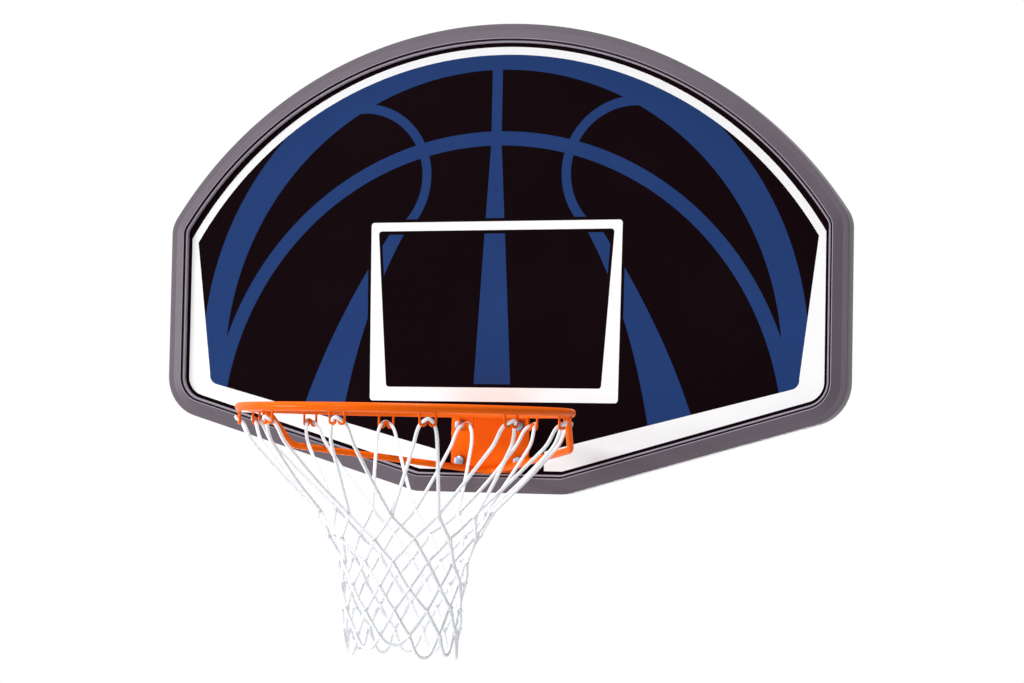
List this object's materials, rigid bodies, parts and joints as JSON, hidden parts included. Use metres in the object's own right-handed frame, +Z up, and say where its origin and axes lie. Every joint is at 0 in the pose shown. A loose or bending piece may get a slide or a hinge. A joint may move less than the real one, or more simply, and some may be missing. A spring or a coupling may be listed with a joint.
{
  "type": "basketball backboard",
  "caption": "Fan-shaped basketball backboard: a printed panel in a moulded frame on rear channels, with a fixed ring on a bolted, braced plate, and a knotted net that swings.",
  "frame": {"origin": "centre of the four mounting holes, on the rear faces of the two channels", "axes": "+Z up, +X to the right of someone facing the board, the front towards -Y"},
  "size_m": [1.118, 0.6392, 0.952],
  "materials": {
    "panel": "printed satin",
    "frame": "moulded, satin",
    "channels": "black powder coat",
    "block": "moulded, matte",
    "rim": "orange powder coat",
    "zinc": "zinc plated",
    "dark_screws": "black oxide",
    "net": "braided white cord"
  },
  "bodies": {
    "board": {"board_panel": "panel", "front_bezel": "frame", "rear_frame": "frame", "frame_screws": "dark_screws", "left_channel": "channels", "right_channel": "channels", "channel_screws": "zinc", "rim_back_block": "block", "rim_back_plate": "zinc", "rim_ring": "rim", "rim_plate": "rim", "rim_brace": "rim", "rim_bolts": "zinc", "rim_washers": "zinc", "rim_nuts": "zinc", "net_hook_01": "rim", "net_hook_02": "rim", "net_hook_03": "rim", "net_hook_04": "rim", "net_hook_05": "rim", "net_hook_06": "rim", "net_hook_07": "rim", "net_hook_08": "rim", "net_hook_09": "rim", "net_hook_10": "rim", "net_hook_11": "rim", "net_hook_12": "rim"},
    "net_upper": {"net_upper": "net"},
    "net_lower": {"net_lower": "net"}
  },
  "joints": [
    {"name": "net_swing", "type": "hinge", "parent": "board", "child": "net_upper", "pos_m": [0, -0.398, -0.1744], "axis": [1, 0, 0], "range_deg": [-12, 12], "deforming": ["net_upper", "net_lower"]},
    {"name": "net_sway", "type": "hinge", "parent": "net_upper", "child": "net_lower", "pos_m": [0, -0.398, -0.3717], "axis": [0, 1, 0], "range_deg": [-15, 15], "deforming": ["net_lower"]}
  ]
}
